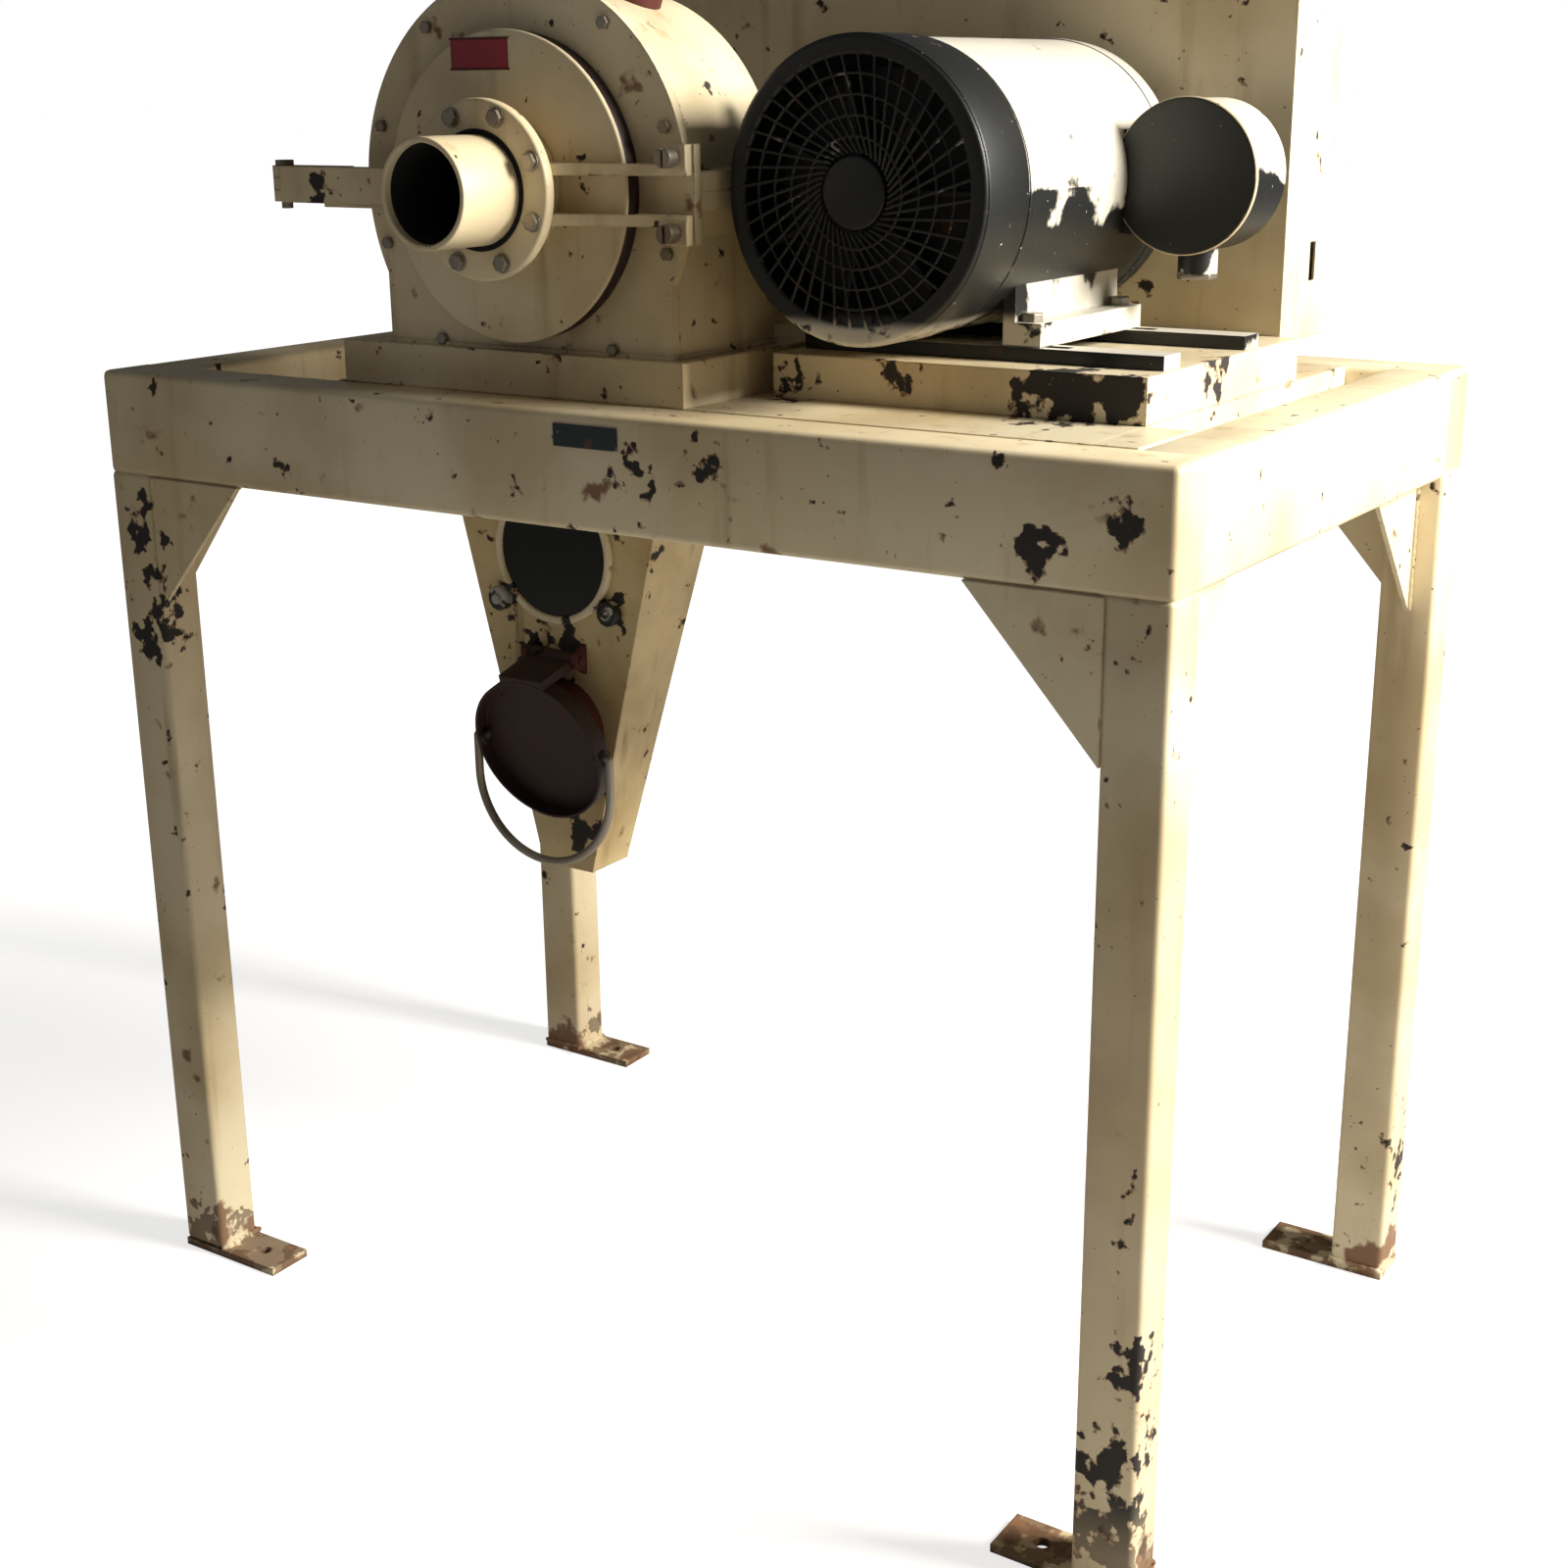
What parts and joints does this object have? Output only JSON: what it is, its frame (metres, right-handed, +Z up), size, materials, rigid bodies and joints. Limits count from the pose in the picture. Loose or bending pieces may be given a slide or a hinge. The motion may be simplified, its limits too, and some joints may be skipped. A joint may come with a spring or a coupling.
{
  "type": "belt-driven centrifugal separator",
  "caption": "Cream-painted centrifugal separator with a hinged inlet door, belt-drive motor, guard and discharge chute, all on a welded four-leg steel stand.",
  "frame": {"origin": "on the floor, in the middle of the four anchor-bolt holes", "axes": "+X to the right seen from the inlet side, +Y away from the inlet side, +Z up"},
  "size_m": [1.422, 0.921, 1.66],
  "materials": {
    "cream_paint": "worn gloss",
    "black_paint": "worn gloss",
    "plate_black": "satin",
    "bare_steel": "worn",
    "cast_iron": "rough",
    "fan_plastic": "matte",
    "belt_rubber": "matte",
    "seal_rubber": "matte",
    "window_glass": "gloss",
    "red_label": "gloss",
    "red_oxide": "satin"
  },
  "bodies": {
    "stand": {"rail_front": "cream_paint", "rail_rear": "cream_paint", "side_rails": "cream_paint", "leg_front_left": "cream_paint", "leg_front_right": "cream_paint", "leg_rear_left": "cream_paint", "leg_rear_right": "cream_paint", "gussets": "cream_paint", "foot_plates": "cream_paint", "cross_members": "cream_paint", "rail_plate": "plate_black", "casing_sub_base": "cream_paint", "motor_sub_base": "cream_paint", "casing_front_plate": "cream_paint", "casing_rear_plate": "cream_paint", "casing_upper": "cream_paint", "casing_lower": "cream_paint", "casing_bolts": "bare_steel", "casing_plug": "red_oxide", "hinge_bracket": "cream_paint", "hinge_pin": "bare_steel", "bearing_pedestal": "cream_paint", "bearing_housings": "cast_iron", "bearings": "bare_steel", "belt_guard": "cream_paint", "guard_cover": "cream_paint", "guard_brackets": "cream_paint", "slide_rails": "black_paint", "chute_body": "cream_paint", "chute_spout": "cream_paint", "window_ring": "cream_paint", "window_glass": "window_glass", "window_knobs": "black_paint", "v_belts": "belt_rubber"},
    "door": {"front_door": "cream_paint", "door_seal": "seal_rubber", "inlet_flange": "cream_paint", "inlet_pipe": "cream_paint", "flange_bolts": "bare_steel", "door_bars": "cream_paint", "hinge_arm": "cream_paint", "door_label": "red_label"},
    "clamp_upper": {"clamp_screw_upper": "bare_steel"},
    "clamp_lower": {"clamp_screw_lower": "bare_steel"},
    "rotor": {"main_shaft": "bare_steel", "rotor_disc": "bare_steel", "rotor_blades": "bare_steel", "driven_pulley": "cast_iron"},
    "motor_carriage": {"motor_frame": "black_paint", "motor_end_bell": "black_paint", "fan_cowl": "black_paint", "terminal_box": "black_paint", "terminal_cover": "black_paint", "lifting_eye": "black_paint", "motor_bolts": "bare_steel"},
    "motor_rotor": {"motor_shaft": "bare_steel", "cooling_fan": "fan_plastic", "motor_pulley": "cast_iron"},
    "flap": {"flap": "cream_paint"},
    "bail": {"flap_bail": "bare_steel"}
  },
  "joints": [
    {"name": "motor_slide", "type": "slide", "parent": "stand", "child": "motor_carriage", "axis": [1, 0, 0], "range_m": [0, 0.035], "deforming": ["v_belts"]},
    {"name": "motor_spin", "type": "hinge", "parent": "motor_carriage", "child": "motor_rotor", "pos_m": [0.293, 0, 1.422], "axis": [0, 1, 0], "continuous": true},
    {"name": "rotor_spin", "type": "hinge", "parent": "stand", "child": "rotor", "pos_m": [-0.106, 0, 1.422], "axis": [0, 1, 0], "continuous": true},
    {"name": "door_swing", "type": "hinge", "parent": "stand", "child": "door", "pos_m": [-0.445, -0.352, 1.422], "axis": [0, 0, -1], "range_deg": [0, 110]},
    {"name": "clamp_upper_turn", "type": "hinge", "parent": "door", "child": "clamp_upper", "pos_m": [0.112, -0.36, 1.456], "axis": [0, 1, 0], "continuous": true},
    {"name": "clamp_lower_turn", "type": "hinge", "parent": "door", "child": "clamp_lower", "pos_m": [0.112, -0.36, 1.381], "axis": [0, 1, 0], "continuous": true},
    {"name": "flap_swing", "type": "hinge", "parent": "stand", "child": "flap", "pos_m": [-0.106, -0.31508, 0.89399], "axis": [-1, 0, 0], "range_deg": [0, 90]},
    {"name": "bail_swing", "type": "hinge", "parent": "flap", "child": "bail", "pos_m": [-0.106, -0.34192, 0.79207], "axis": [-1, 0, 0], "range_deg": [0, 90]}
  ],
  "couplings": [
    {"joint": "rotor_spin", "follows": "motor_spin", "ratio": 2.0219}
  ]
}
